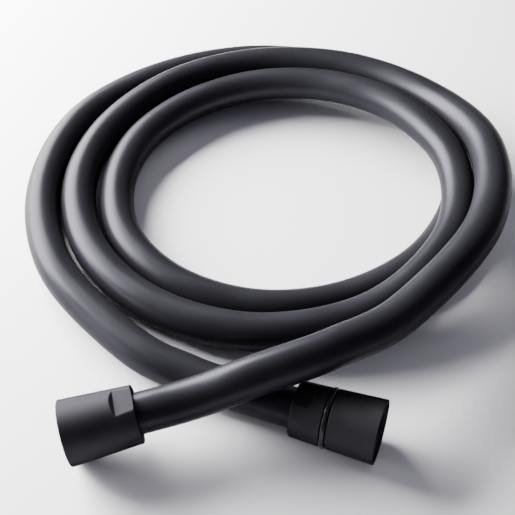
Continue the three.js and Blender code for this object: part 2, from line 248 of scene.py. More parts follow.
def closed_skin(name, grid, lay):
    """Mesh of a surface that closes on itself both ways, like a torus: vertex
    (i, j) joins (i + 1, j) and (i, j + 1), each counted round. The signed volume,
    a sixth of the sum of a . (b x c) over the triangles, tells which way the
    faces point. lay is kept on each vertex, for patterns that follow the skin."""
    rows, columns = grid.shape[:2]
    index = np.arange(rows * columns).reshape(rows, columns)
    below = np.roll(index, -1, 0)
    quads = np.stack((index, below, np.roll(below, -1, 1), np.roll(index, -1, 1)), -1)
    quads = quads.reshape(-1, 4)
    points = grid.reshape(-1, 3)
    a, b, c, d = (points[quads[:, k]] - points.mean(0) for k in range(4))
    volume = np.einsum("ij,ij->", a, np.cross(b, c)) + np.einsum("ij,ij->", a, np.cross(c, d))
    if volume < 0:
        quads = quads[:, ::-1]
    mesh = bpy.data.meshes.new(name)
    mesh.vertices.add(len(points))
    mesh.vertices.foreach_set("co", np.ascontiguousarray(points, np.float32).ravel())
    mesh.loops.add(quads.size)
    mesh.loops.foreach_set("vertex_index", np.ascontiguousarray(quads, np.int32).ravel())
    mesh.polygons.add(len(quads))
    mesh.polygons.foreach_set("loop_start", np.arange(0, quads.size, 4, dtype=np.int32))
    mesh.update(calc_edges=True)
    mesh.validate()
    attribute = mesh.attributes.new("lay", "FLOAT_VECTOR", "POINT")
    attribute.data.foreach_set("vector", np.ascontiguousarray(lay, np.float32).ravel())
    mesh.shade_smooth()
    mesh.set_sharp_from_angle(angle=SHARP_EDGE)
    piece = bpy.data.objects.new(name, mesh)
    bpy.context.scene.collection.objects.link(piece)
    return piece


def rounded(outline, radii, steps=5, hold=0.12):
    """Outline of [radius, along] corners, closed, with each corner rounded and a
    holding point on each side of it. At a corner p between unit directions u and
    v, the round is the quadratic curve from p + u r over p to p + v r. A holding
    point stands a little further out, so that long faces shade evenly. Neither
    takes up more than its share of the edges beside the corner."""
    round_share = 0.42
    hold_share = 0.06
    corners = np.array(outline, float)
    before = np.roll(corners, 1, 0) - corners
    after = np.roll(corners, -1, 0) - corners
    back = np.linalg.norm(before, axis=1)
    ahead = np.linalg.norm(after, axis=1)
    reach = np.minimum(np.array(radii, float), round_share * np.minimum(back, ahead))
    u = before / back[:, None]
    v = after / ahead[:, None]
    t = np.linspace(0, 1, steps)[None, :, None]
    start = (corners + u * reach[:, None])[:, None]
    end = (corners + v * reach[:, None])[:, None]
    bend = (1 - t) ** 2 * start + 2 * t * (1 - t) * corners[:, None] + t**2 * end
    out = np.minimum(hold, hold_share * np.minimum(back, ahead))[:, None, None]
    first = start + u[:, None] * out
    last = end + v[:, None] * out
    return np.concatenate((first, bend, last), 1).reshape(-1, 2)


def revolved(name, fitting, outline, turns):
    """Turned piece: every outline point carried round the axis through the given
    turns. radius and along come from the outline, the turn from the column."""
    radius, along = outline[:, 0, None], outline[:, 1, None]
    turn = np.broadcast_to(turns[None], (len(outline), len(turns)))
    return skin_round(name, fitting, radius + 0 * turn, along + 0 * turn, turn)


def skin_round(name, fitting, radius, along, turn):
    """Closed skin from grids of radius, distance along the axis and turn."""
    lay = np.stack((along * MM, np.cos(turn) * radius * MM, np.sin(turn) * radius * MM), -1)
    return closed_skin(name, fitting.around(radius, along, turn), lay)


def turned_stem(name, fitting, outline):
    """Slim turned piece, with the same small round on every edge."""
    corners = rounded(outline, [STEM_ROUND] * len(outline), steps=3)
    return revolved(name, fitting, corners, even_turns(STEM_COLUMNS))


def even_turns(count):
    """Turns evenly spaced all the way round."""
    return np.linspace(0, 2 * math.pi, count, endpoint=False)


def flat_turns():
    """Turns round a fitting with two flats, one up and one down: closely spaced
    within the spread on each side of a flat's middle, and wider in between."""
    half = np.concatenate((
        np.linspace(-FLAT_SPREAD, FLAT_SPREAD, FLAT_COLUMNS, endpoint=False),
        np.linspace(FLAT_SPREAD, math.pi - FLAT_SPREAD, PLAIN_COLUMNS, endpoint=False),
    ))
    return np.concatenate((half, half + math.pi))


def softer_of(a, b, width):
    """The smaller of two lengths, with the change from one to the other rounded
    over the given width: a mix of both, less width h (1 - h), where h runs from
    0 to 1 as a passes b."""
    h = np.clip(0.5 + 0.5 * (b - a) / width, 0, 1)
    return b + (a - b) * h - width * h * (1 - h)


def with_flats(radius, along, turn, half_flats, length, run_out):
    """Radius after milling the two flats: no more than the flat's distance from
    the axis over the cosine of the turn. Past the flat's length that distance
    grows by the run-out slope, until the cut leaves the metal."""
    least_cosine = 0.05
    edge_width = 0.16
    level = half_flats + np.maximum(along - length, 0) * run_out
    flat = level / np.maximum(np.abs(np.cos(turn)), least_cosine)
    return softer_of(radius, flat, edge_width)


def thread_depth(along, turn, start, end):
    """How far the inside thread is cut below its crests: half a cosine of the
    distance along less the turn's share of the pitch, which climbs one pitch in
    each turn. It fades in over one pitch, and out just behind the mouth. A power
    below one widens the groove."""
    fade_out = 0.4
    widening = 0.8
    phase = along / THREAD_PITCH - turn / (2 * math.pi)
    groove = 0.5 - 0.5 * np.cos(2 * math.pi * phase)
    rise = np.clip((along - start) / THREAD_PITCH, 0, 1)
    fall = np.clip((end - along) / fade_out, 0, 1)
    return (THREAD_ROOT_R - THREAD_CREST_R) * groove**widening * (rise * fall)


def thread_rows(start, end):
    """Outline rows along the thread's crests, from the mouth inwards."""
    along = np.arange(end - MOUTH_RELIEF, start, -THREAD_ROW_STEP)
    return np.stack((0 * along + THREAD_CREST_R, along), 1)


def with_rows_between(outline, rows):
    """Puts extra rows into an outline's longest gap, so that fine detail there has
    enough vertices."""
    margin = 0.05
    gaps = np.linalg.norm(np.diff(outline, axis=0), axis=1)
    place = int(np.argmax(gaps)) + 1
    start, end = outline[place - 1, 1], outline[place, 1]
    inside = rows[(rows[:, 1] > start + margin) & (rows[:, 1] < end - margin)]
    return np.concatenate((outline[:place], inside, outline[place:]))


def threaded_coupling(name, fitting, parts, thread_span, milled=None):
    """Coupling skin on a grid, from the outline's outer, thread and inner rows:
    the outline's radius, milled outside from the middle of the rear hole's edge
    on, and with the thread's depth added along its rows. The mouth's bevel cuts
    the thread's crests."""
    outer_count, thread_count = len(parts[0]), len(parts[1])
    outline = np.concatenate(parts)
    turn = flat_turns()[None]
    radius = outline[:, 0, None] + 0 * turn
    along = outline[:, 1, None] + 0 * turn
    turn = turn + 0 * radius
    if milled is not None:
        outer = slice(CORNER_HALF_ROWS, outer_count)
        radius[outer] = milled(radius[outer], along[outer], turn[outer])
    thread = slice(outer_count, outer_count + thread_count)
    start, end = thread_span
    cut = THREAD_CREST_R + thread_depth(along[thread], turn[thread], start, end)
    bevel = MOUTH_BEVEL_R - (end - along[thread])
    radius[thread] = np.maximum(cut, bevel)
    return skin_round(name, fitting, radius, along, turn)


def washer_piece(name, fitting, rear, hole_radius):
    """Flat washer, with its rear face at a distance along the axis."""
    outline = rounded(
        [
            (hole_radius, rear),
            (WASHER_R, rear),
            (WASHER_R, rear + WASHER_THICKNESS),
            (hole_radius, rear + WASHER_THICKNESS),
        ],
        [WASHER_ROUND] * 4,
    )
    return revolved(name, fitting, outline, even_turns(WASHER_COLUMNS))


def barbed_outline(hose_end):
    """Corners of the stem from its tip inside the hose, with three barbs: each
    rises along most of its pitch and drops straight back to the stem."""
    tip = hose_end - TAIL_LENGTH
    outline = [(TAIL_BORE_R, tip), (TAIL_STEM_R, tip)]
    for count in range(3):
        barb = tip + BARB_START + count * BARB_PITCH
        peak = barb + BARB_RISE
        outline += [(TAIL_STEM_R, barb), (BARB_R, peak), (TAIL_STEM_R, peak)]
    return outline


def coil_points():
    """The route's points on the coil, from their turns, radii and heights."""
    turn = np.radians(COIL_START + COIL_STEP * np.arange(len(COIL_RADII)))
    radius = np.array(COIL_RADII, float)
    height = np.array(COIL_HEIGHTS, float)
    return np.stack((radius * np.cos(turn), radius * np.sin(turn), height), 1)


def route_points():
    """The points that the hose's middle goes through, in metres, from the hose's
    end in the left fitting to its end in the right one."""
    shift = np.array((COIL_CENTRE[0], COIL_CENTRE[1], 0))
    middle = np.concatenate((LEFT_END_ROUTE, coil_points(), RIGHT_END_ROUTE))
    return np.concatenate((
        [LEFT.at(LEFT_HOSE_END)],
        [LEFT.at(-distance) for distance in LEFT_STRAIGHT],
        (middle + shift) * MM,
        [RIGHT.at(-distance) for distance in RIGHT_STRAIGHT],
        [RIGHT.at(RIGHT_HOSE_END)],
    ))


def catmull_rom(points, steps):
    """Smooth curve through the points: between p1 and p2 it is half of 2 p1 +
    (p2 - p0) t + (2 p0 - 5 p1 + 4 p2 - p3) t^2 + (3 p1 - p0 - 3 p2 + p3) t^3. The
    point before the first and the one after the last are mirrored."""
    padded = np.concatenate(([2 * points[0] - points[1]], points, [2 * points[-1] - points[-2]]))
    p0, p1, p2, p3 = (padded[k:len(padded) - 3 + k, None] for k in range(4))
    t = (np.arange(steps) / steps)[None, :, None]
    curve = 0.5 * (
        2 * p1
        + (p2 - p0) * t
        + (2 * p0 - 5 * p1 + 4 * p2 - p3) * t**2
        + (3 * p1 - p0 - 3 * p2 + p3) * t**3
    )
    return np.concatenate((curve.reshape(-1, 3), points[-1:]))


def along_route(curve):
    """Distance of every point from the first one, measured along the curve."""
    steps = np.linalg.norm(np.diff(curve, axis=0), axis=1)
    return np.concatenate(([0], np.cumsum(steps)))


def tube_grid(curve, radius, turn):
    """Rings round the curve. The side of each ring is the curve's direction
    crossed with the vertical, which never fails on a hose that lies down, and its
    top is the side crossed with the direction."""
    direction = np.gradient(curve, along_route(curve), axis=0)
    direction /= np.linalg.norm(direction, axis=1)[:, None]
    side = np.cross(direction, (0, 0, 1))
    side /= np.linalg.norm(side, axis=1)[:, None]
    top = np.cross(side, direction)
    upward = top[:, None] * np.cos(turn)[None, :, None]
    sideward = side[:, None] * np.sin(turn)[None, :, None]
    return curve[:, None] + radius * (upward + sideward)


class Finish:
    """A node material on one Principled BSDF, with short ways to add the nodes."""

    def __init__(self, name, colour, roughness, metallic=0.0, specular=0.5):
        self.material = bpy.data.materials.new(name)
        self.material.use_nodes = True
        self.tree = self.material.node_tree
        self.shader = self.tree.nodes["Principled BSDF"]
        self.shader.inputs["Base Color"].default_value = (*colour, 1)
        self.shader.inputs["Roughness"].default_value = roughness
        self.shader.inputs["Metallic"].default_value = metallic
        self.shader.inputs["Specular IOR Level"].default_value = specular
        self.colour = colour

    def node(self, kind, **settings):
        node = self.tree.nodes.new(kind)
        for key, value in settings.items():
            setattr(node, key, value)
        return node

    def link(self, source, target):
        self.tree.links.new(source, target)

    def object_place(self):
        return self.node("ShaderNodeTexCoord").outputs["Object"]

    def lay_place(self):
        return self.node("ShaderNodeAttribute", attribute_name="lay").outputs["Vector"]

    def scaled(self, place, scale):
        mapping = self.node("ShaderNodeMapping")
        mapping.inputs["Scale"].default_value = scale
        self.link(place, mapping.inputs["Vector"])
        return mapping.outputs["Vector"]

    def noise(self, place, scale, detail=3.0, rough=0.55):
        noise = self.node("ShaderNodeTexNoise")
        noise.inputs["Scale"].default_value = scale
        noise.inputs["Detail"].default_value = detail
        noise.inputs["Roughness"].default_value = rough
        self.link(place, noise.inputs["Vector"])
        return noise.outputs["Fac"]

    def between(self, value, low, high, start=0.3, end=0.7):
        spread = self.node("ShaderNodeMapRange", clamp=True)
        spread.inputs["From Min"].default_value = start
        spread.inputs["From Max"].default_value = end
        spread.inputs["To Min"].default_value = low
        spread.inputs["To Max"].default_value = high
        self.link(value, spread.inputs["Value"])
        return spread.outputs["Result"]

    def shade_between(self, value, dark, light):
        """Base colour from dark to light, as multiples of the finish's colour."""
        mix = self.node("ShaderNodeMix", data_type="RGBA")
        mix.inputs["A"].default_value = (*(c * dark for c in self.colour), 1)
        mix.inputs["B"].default_value = (*(c * light for c in self.colour), 1)
        self.link(self.between(value, 0, 1), mix.inputs["Factor"])
        self.link(mix.outputs["Result"], self.shader.inputs["Base Color"])

    def dim_edges(self, share):
        """Leaves only a share of the metallic part's reflection at grazing angles,
        where a satin or matt black shines little."""
        self.shader.inputs["Specular Tint"].default_value = (share, share, share, 1)

    def cover(self, share, colour):
        """Lays a second colour over the base colour, as much as the share says."""
        base = self.shader.inputs["Base Color"]
        mix = self.node("ShaderNodeMix", data_type="RGBA")
        self.link(base.links[0].from_socket, mix.inputs["A"])
        mix.inputs["B"].default_value = (*colour, 1)
        self.link(share, mix.inputs["Factor"])
        self.link(mix.outputs["Result"], base)

    def vary_roughness(self, value, low, high):
        self.link(self.between(value, low, high), self.shader.inputs["Roughness"])

    def bump(self, value, depth_mm, strength=1.0, after=None):
        bump = self.node("ShaderNodeBump")
        bump.inputs["Strength"].default_value = strength
        bump.inputs["Distance"].default_value = depth_mm * MM
        self.link(value, bump.inputs["Height"])
        if after is not None:
            self.link(after, bump.inputs["Normal"])
        self.link(bump.outputs["Normal"], self.shader.inputs["Normal"])
        return bump.outputs["Normal"]


def smooth_pvc(look):
    """Satin black hose skin with dim edges: a fine grain, faint rings left by the
    extruder every few tenths of a millimetre, and slow changes of gloss along the
    hose."""
    finish = Finish(
        "smooth_black_pvc", look.colour[:], look.roughness, metallic=0.5, specular=0.14
    )
    finish.dim_edges(0.12)
    grain = finish.noise(finish.object_place(), 2600, 2)
    rings = finish.noise(finish.scaled(finish.lay_place(), (2400, 60, 60)), 1.0, 2)
    cloud = finish.noise(finish.scaled(finish.lay_place(), (28, 90, 90)), 1.0, 3)
    finish.shade_between(cloud, 0.86, 1.16)
    finish.vary_roughness(cloud, look.roughness - 0.05, look.roughness + 0.06)
    first = finish.bump(grain, 0.012, 0.5)
    finish.bump(rings, 0.02, 0.35, first)
    return finish.material


def black_coat(look):
    """Matt black coat on the turned couplings, a dark metal with dim edges: a
    close powdery grain and a few slow clouds of gloss."""
    finish = Finish("matt_black_coat", look.colour[:], look.roughness, metallic=1.0)
    finish.dim_edges(0.15)
    grain = finish.noise(finish.object_place(), 5200, 3, 0.6)
    cloud = finish.noise(finish.object_place(), 140, 3)
    finish.shade_between(cloud, 0.88, 1.14)
    finish.vary_roughness(cloud, look.roughness - 0.05, look.roughness + 0.05)
    finish.bump(grain, 0.02, 0.55)
    return finish.material


def gloss_ring():
    """Moulded gloss black plastic, with a very faint unevenness."""
    finish = Finish("gloss_black_ring", (0.012, 0.012, 0.014), 0.16, specular=0.26)
    cloud = finish.noise(finish.object_place(), 420, 2)
    finish.vary_roughness(cloud, 0.12, 0.2)
    finish.shade_between(cloud, 0.9, 1.1)
    finish.bump(finish.noise(finish.object_place(), 900, 2), 0.01, 0.3)
    return finish.material


def lathe_brass(name):
    """Bare brass with the fine rings of the lathe tool, crossed by slow tarnish."""
    finish = Finish(name, (0.72, 0.56, 0.27), 0.28, metallic=1.0)
    rings = finish.noise(finish.scaled(finish.lay_place(), (9000, 120, 120)), 1.0, 2)
    tarnish = finish.noise(finish.object_place(), 260, 4)
    finish.shade_between(tarnish, 0.78, 1.08)
    finish.vary_roughness(tarnish, 0.22, 0.38)
    finish.bump(rings, 0.01, 0.4)
    return finish


def turned_brass():
    """Plain brass of the left fitting's tail."""
    return lathe_brass("turned_brass").material


def brass_with_painted_gap_shade():
    """Brass of the spindle, with painted shade from the collar up to the sleeve: near black
    where it shows through the gaps beside the slip ring, which lie in shadow."""
    fade = 0.1
    finish = lathe_brass("brass_with_painted_gap_shade")
    axes = finish.node("ShaderNodeSeparateXYZ")
    finish.link(finish.lay_place(), axes.inputs["Vector"])
    distance = axes.outputs["X"]
    from_collar = finish.between(distance, 0, 1, (COLLAR_REAR - fade) * MM, COLLAR_REAR * MM)
    to_sleeve = finish.between(distance, 1, 0, SLEEVE_REAR * MM, (SLEEVE_REAR + fade) * MM)
    both = finish.node("ShaderNodeMath", operation="MULTIPLY")
    finish.link(from_collar, both.inputs[0])
    finish.link(to_sleeve, both.inputs[1])
    # Painted shade: near-black colour laid over the brass in the shadowed gaps beside the slip
    # ring.
    finish.cover(both.outputs["Value"], (0.004, 0.004, 0.004))
    return finish.material


def bright_steel():
    """Stainless spring and sleeve steel, lightly brushed."""
    finish = Finish("bright_steel", (0.7, 0.71, 0.73), 0.25, metallic=1.0)
    brush = finish.noise(finish.scaled(finish.object_place(), (900, 900, 9000)), 1.0, 3)
    finish.shade_between(brush, 0.85, 1.05)
    finish.vary_roughness(brush, 0.2, 0.36)
    finish.bump(brush, 0.006, 0.3)
    return finish.material


def seal_rubber():
    """Matt black rubber with a bloom of dust-fine grain."""
    finish = Finish("seal_rubber", (0.021, 0.021, 0.021), 0.8, specular=0.35)
    bloom = finish.noise(finish.object_place(), 700, 4)
    finish.shade_between(bloom, 0.8, 1.35)
    finish.vary_roughness(bloom, 0.72, 0.9)
    finish.bump(finish.noise(finish.object_place(), 4200, 3), 0.02, 0.5)
    return finish.material


def white_acetal():
    """Natural white plastic of the glide ring."""
    finish = Finish("white_acetal", (0.86, 0.85, 0.8), 0.45, specular=0.5)
    cloud = finish.noise(finish.object_place(), 500, 3)
    finish.shade_between(cloud, 0.94, 1.03)
    finish.vary_roughness(cloud, 0.38, 0.52)
    finish.bump(finish.noise(finish.object_place(), 3000, 2), 0.01, 0.3)
    return finish.material


def table_top(look):
    """Pale, plain table: almost even, with a breath of gloss."""
    finish = Finish("pale_table", look.colour[:], look.roughness, specular=0.4)
    cloud = finish.noise(finish.object_place(), 6, 2)
    finish.shade_between(cloud, 0.99, 1.01)
    return finish.material


def made_once(name, maker):
    """The material of that name, made only if it isn't there yet."""
    return bpy.data.materials.get(name) or maker()


def dress(piece, material, slot, body, *nodes):
    """Gives a new piece its material and body, and hides the CAD nodes it stands for. The record
    slot is not used."""
    piece.data.materials.clear()
    piece.data.materials.append(material)
    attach(piece, body)
    if nodes:
        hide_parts(*nodes)


def finish_node(name, material):
    """Puts a procedural material on a CAD node that is shown as it is."""
    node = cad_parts[name]
    node.data.materials.clear()
    node.data.materials.append(material)


class HoseSettings(bpy.types.PropertyGroup):
    diameter: bpy.props.FloatProperty(
        name="Outside diameter",
        description="Outside diameter of the hose",
        default=HOSE_OD * MM,
        min=0.005,
        max=0.03,
        precision=4,
        subtype="DISTANCE",
        unit="LENGTH",
    )
    bore: bpy.props.FloatProperty(
        name="Bore",
        description="Inside diameter of the hose",
        default=0.009,
        min=0.003,
        max=0.02,
        precision=4,
        subtype="DISTANCE",
        unit="LENGTH",
    )
    sides: bpy.props.IntProperty(
        name="Sides",
        description="Faces round the hose",
        default=56,
        min=12,
        max=96,
    )
    rings: bpy.props.IntProperty(
        name="Rings",
        description="Rings from one point of the route to the next",
        default=12,
        min=4,
        max=24,
    )
    colour: bpy.props.FloatVectorProperty(
        name="Colour",
        description="Colour of the hose's skin",
        default=(0.0215, 0.021, 0.0255),
        min=0,
        max=1,
        size=3,
        subtype="COLOR",
    )
    roughness: bpy.props.FloatProperty(
        name="Roughness",
        description="How matt the hose's skin is",
        default=0.355,
        min=0,
        max=1,
        subtype="FACTOR",
    )


class CouplingSettings(bpy.types.PropertyGroup):
    colour: bpy.props.FloatVectorProperty(
        name="Colour",
        description="Colour of the coat on both couplings",
        default=(0.038, 0.037, 0.042),
        min=0,
        max=1,
        size=3,
        subtype="COLOR",
    )
    roughness: bpy.props.FloatProperty(
        name="Roughness",
        description="How matt the coat is",
        default=0.68,
        min=0,
        max=1,
        subtype="FACTOR",
    )
    edge_round: bpy.props.FloatProperty(
        name="Edge rounding",
        description="Radius that breaks the couplings' outer edges",
        default=0.0004,
        min=0,
        max=0.001,
        precision=5,
        subtype="DISTANCE",
        unit="LENGTH",
    )
    run_out: bpy.props.FloatProperty(
        name="Flat run-out",
        description="Slope with which a spanner flat's cut leaves the metal",
        default=1.15,
        min=0.1,
        max=5,
    )


class TableSettings(bpy.types.PropertyGroup):
    colour: bpy.props.FloatVectorProperty(
        name="Colour",
        description="Colour of the table top",
        default=(0.935, 0.93, 0.955),
        min=0,
        max=1,
        size=3,
        subtype="COLOR",
    )
    roughness: bpy.props.FloatProperty(
        name="Roughness",
        description="How matt the table top is",
        default=0.55,
        min=0,
        max=1,
        subtype="FACTOR",
    )
    window_power: bpy.props.FloatProperty(
        name="Window light",
        description="Strength of the large light behind on the left",
        default=48.7,
        min=0,
        max=500,
        unit="POWER",
    )
    wall_power: bpy.props.FloatProperty(
        name="Wall light",
        description="Strength of the light that comes back from the wall behind",
        default=2.55,
        min=0,
        max=500,
        unit="POWER",
    )
    left_power: bpy.props.FloatProperty(
        name="Left light",
        description="Strength of the low light from the left",
        default=7.2,
        min=0,
        max=500,
        unit="POWER",
    )
    room_light: bpy.props.FloatProperty(
        name="Room light",
        description="Strength of the even light from all round",
        default=0.165,
        min=0,
        max=5,
    )


class SHOWERHOSE_OT_camera(bpy.types.Operator):
    """Stand the camera where the photograph was taken"""

    bl_idname = "shower_hose.camera"
    bl_label = "Stand Camera"

    def execute(self, context):
        data = bpy.data.cameras.new("photo_camera")
        data.sensor_width = SENSOR_MM
        data.lens = SENSOR_MM * CAMERA_FOCAL_PX / IMAGE_PX
        data.clip_start = 0.01
        camera = bpy.data.objects.new("photo_camera", data)
        away = Vector((0, -math.cos(CAMERA_ELEVATION), math.sin(CAMERA_ELEVATION)))
        camera.location = Vector(CAMERA_TARGET) + CAMERA_DISTANCE * away
        camera.rotation_euler = (math.pi / 2 - CAMERA_ELEVATION, 0, 0)
        context.scene.collection.objects.link(camera)
        context.scene.camera = camera
        return {"FINISHED"}


class SHOWERHOSE_OT_hose(bpy.types.Operator):
    """Lay the hose along its route"""

    bl_idname = "shower_hose.hose"
    bl_label = "Lay Hose"

    def execute(self, context):
        look = context.scene.shower_hose
        curve = catmull_rom(route_points(), look.rings)
        distance = along_route(curve)
        turn = even_turns(look.sides)
        outside = tube_grid(curve, look.diameter / 2, turn)
        inside = tube_grid(curve, look.bore / 2, turn)[::-1]
        grid = np.concatenate((outside, inside))
        along = np.concatenate((distance, distance[::-1]))[:, None] + 0 * turn
        radius = np.repeat((look.diameter / 2, look.bore / 2), len(curve))[:, None]
        lay = np.stack((along, radius * np.cos(turn), radius * np.sin(turn)), -1)
        hose = closed_skin("smooth_hose", grid, lay)
        dress(hose, smooth_pvc(look), "hose", "hose_body", "hose")
        return {"FINISHED"}


class SHOWERHOSE_OT_left_fitting(bpy.types.Operator):
    """Dress the coupling nut on the hose's left end"""

    bl_idname = "shower_hose.left_fitting"
    bl_label = "Dress Left Fitting"

    def execute(self, context):
        look = context.scene.shower_couplings
        coat = made_once("matt_black_coat", lambda: black_coat(look))
        rubber = made_once("seal_rubber", seal_rubber)
        nut = self.coupling_nut(look)
        dress(nut, coat, "coupling_coat", "left_nut", "left_coupling_nut")
        washer = washer_piece("left_seal", LEFT, FLANGE_FRONT + SEAT_GAP, LEFT_WASHER_HOLE_R)
        dress(washer, rubber, "rubber", "hose_body", "left_sealing_washer")
        tail = self.flanged_tail()
        dress(tail, turned_brass(), "brass", "hose_body", "left_tail_insert")
        return {"FINISHED"}

    @staticmethod
    def coupling_nut(look):
        """Nut skin: the taper from rear to mouth with two milled flats outside, and
        inside the thread, a relief behind it and the passage for the hose."""
        edge = look.edge_round / MM
        outer = rounded(
            [
                (PASSAGE_R, 0),
                (LEFT_REAR_R, 0),
                (LEFT_MOUTH_R, LEFT_LENGTH),
                (MOUTH_BEVEL_R, LEFT_LENGTH),
            ],
            [REAR_HOLE_ROUND, edge, edge, FINE_ROUND],
        )
        fine = np.arange(NUT_ROWS_START, LEFT_FLAT_LENGTH + FLAT_ROWS_PAST, FLAT_ROW_STEP)
        slope = (LEFT_MOUTH_R - LEFT_REAR_R) / LEFT_LENGTH
        outer = with_rows_between(outer, np.stack((LEFT_REAR_R + slope * fine, fine), 1))
        inner = rounded(
            [
                (CAVITY_R, FLANGE_FRONT - NUT_RELIEF),
                (CAVITY_R, LEFT_REAR_WALL),
                (PASSAGE_R, LEFT_REAR_WALL),
            ],
            [RELIEF_ROUND, FINE_ROUND, FINE_ROUND],
        )[CORNER_HALF_ROWS:]
        return threaded_coupling(
            "left_nut",
            LEFT,
            (outer, thread_rows(FLANGE_FRONT, LEFT_LENGTH), inner),
            (FLANGE_FRONT, LEFT_LENGTH),
            lambda radius, along, turn: with_flats(
                radius, along, turn, LEFT_HALF_FLATS, LEFT_FLAT_LENGTH, look.run_out
            ),
        )

    @staticmethod
    def flanged_tail():
        """Barbed stem in the hose's end, with the flange that the washer lies on."""
        outline = barbed_outline(LEFT_HOSE_END) + [
            (TAIL_STEM_R, FLANGE_REAR),
            (FLANGE_R, FLANGE_REAR),
            (FLANGE_R, FLANGE_FRONT),
            (TAIL_BORE_R, FLANGE_FRONT),
        ]
        return turned_stem("left_tail", LEFT, outline)


class SHOWERHOSE_OT_right_fitting(bpy.types.Operator):
    """Dress the swivel coupling on the hose's right end"""

    bl_idname = "shower_hose.right_fitting"
    bl_label = "Dress Right Fitting"

    def execute(self, context):
        look = context.scene.shower_couplings
        coat = made_once("matt_black_coat", lambda: black_coat(look))
        rubber = made_once("seal_rubber", seal_rubber)
        steel = made_once("bright_steel", bright_steel)
        dress(self.swivel_body(look), coat, "coupling_coat", "hose_body", "right_swivel_body")
        dress(self.slip_ring(), gloss_ring(), "slip_ring", "hose_body", "right_slip_ring")
        sleeve = self.coupling_sleeve(look)
        dress(sleeve, coat, "coupling_coat", "right_sleeve", "right_coupling_sleeve")
        washer = washer_piece("right_seal", RIGHT, WEB_FRONT + SEAT_GAP, RIGHT_WASHER_HOLE_R)
        dress(washer, rubber, "rubber", "right_sleeve", "right_sealing_washer")
        dress(self.spindle(), brass_with_painted_gap_shade(), "brass", "hose_body", "right_swivel_spindle")
        dress(self.clip(), steel, "steel", "hose_body", "right_retaining_clip")
        return {"FINISHED"}

    @staticmethod
    def swivel_body(look):
        """Rear half: rounded at the hose, two milled flats, hollow over the ferrule
        and the spindle's collar."""
        edge = look.edge_round / MM
        hole = HOSE_OD / 2 + SEAT_GAP
        hollow = HOSE_OD / 2 + 2 * SEAT_GAP + FERRULE_WALL
        step = COLLAR_REAR - SEAT_GAP
        outer = rounded(
            [
                (hole, 0),
                (RIGHT_REAR_R, 0),
                (right_cone_radius(BODY_LENGTH), BODY_LENGTH),
                (COLLAR_R + SEAT_GAP, BODY_LENGTH),
            ],
            [REAR_HOLE_ROUND, BODY_REAR_ROUND, edge, FINE_ROUND],
            steps=8,
        )
        fine = np.arange(BODY_ROWS_START, BODY_FLAT_LENGTH + FLAT_ROWS_PAST, FLAT_ROW_STEP)
        outer = with_rows_between(outer, np.stack((right_cone_radius(fine), fine), 1))
        inner = rounded(
            [
                (COLLAR_R + SEAT_GAP, step),
                (hollow, step),
                (hollow, BODY_REAR_WALL),
                (hole, BODY_REAR_WALL),
            ],
            [FINE_ROUND] * 4,
        )
        outline = np.concatenate((outer, inner))
        turn = flat_turns()[None]
        radius = outline[:, 0, None] + 0 * turn
        along = outline[:, 1, None] + 0 * turn
        milled = with_flats(radius, along, turn, BODY_HALF_FLATS, BODY_FLAT_LENGTH, look.run_out)
        rim_radius = HOSE_OD / 2 + 1
        radius = np.where(radius > rim_radius, milled, radius)
        return skin_round("right_rear_half", RIGHT, radius, along, turn + 0 * radius)

    @staticmethod
    def slip_ring():
        """Narrow ring between the two halves, with well rounded outer edges."""
        inner = COLLAR_NECK_R + SEAT_GAP
        outline = rounded(
            [
                (inner, SLIP_RING_REAR),
                (SLIP_RING_R, SLIP_RING_REAR),
                (SLIP_RING_R, SLIP_RING_FRONT),
                (inner, SLIP_RING_FRONT),
            ],
            [FINE_ROUND, SLIP_RING_ROUND, SLIP_RING_ROUND, FINE_ROUND],
            steps=9,
        )
        return revolved("right_gloss_ring", RIGHT, outline, even_turns(SLIP_RING_COLUMNS))

    @staticmethod
    def coupling_sleeve(look):
        """Front half: the taper's longer part, its thread in the mouth, and the web
        whose bore runs on the spindle's journal."""
        edge = look.edge_round / MM
        outer = rounded(
            [
                (JOURNAL_BORE_R, SLEEVE_REAR),
                (right_cone_radius(SLEEVE_REAR), SLEEVE_REAR),
                (RIGHT_MOUTH_R, RIGHT_LENGTH),
                (MOUTH_BEVEL_R, RIGHT_LENGTH),
            ],
            [FINE_ROUND, edge, 1.1 * edge, FINE_ROUND],
        )
        inner = rounded(
            [(THREAD_CREST_R, WEB_FRONT), (JOURNAL_BORE_R, WEB_FRONT)],
            [FINE_ROUND] * 2,
        )
        return threaded_coupling(
            "right_front_half",
            RIGHT,
            (outer, thread_rows(WEB_FRONT + WEB_RELIEF, RIGHT_LENGTH), inner),
            (WEB_FRONT, RIGHT_LENGTH),
        )

    @staticmethod
    def spindle():
        """Barbed stem, collar, journal with two seal grooves and the clip's groove."""
        grooves = []
        floor = JOURNAL_R - O_RING_GROOVE_DEPTH
        for middle in O_RING_MIDDLES:
            rear, front = middle - O_RING_GROOVE_HALF, middle + O_RING_GROOVE_HALF
            grooves += [(JOURNAL_R, rear), (floor, rear), (floor, front), (JOURNAL_R, front)]
        outline = barbed_outline(RIGHT_HOSE_END) + [
            (TAIL_STEM_R, COLLAR_REAR),
            (COLLAR_R, COLLAR_REAR),
            (COLLAR_R, BODY_LENGTH),
            (COLLAR_NECK_R, BODY_LENGTH),
            (COLLAR_NECK_R, SLIP_RING_FRONT),
            (JOURNAL_R, SLIP_RING_FRONT),
            *grooves,
            (JOURNAL_R, CLIP_REAR - SEAT_GAP),
            (CLIP_GROOVE_R, CLIP_REAR - SEAT_GAP),
            (CLIP_GROOVE_R, CLIP_FRONT + SEAT_GAP),
            (JOURNAL_R, CLIP_FRONT + SEAT_GAP),
            (JOURNAL_R, JOURNAL_END),
            (TAIL_BORE_R, JOURNAL_END),
        ]
        return turned_stem("right_spindle", RIGHT, outline)

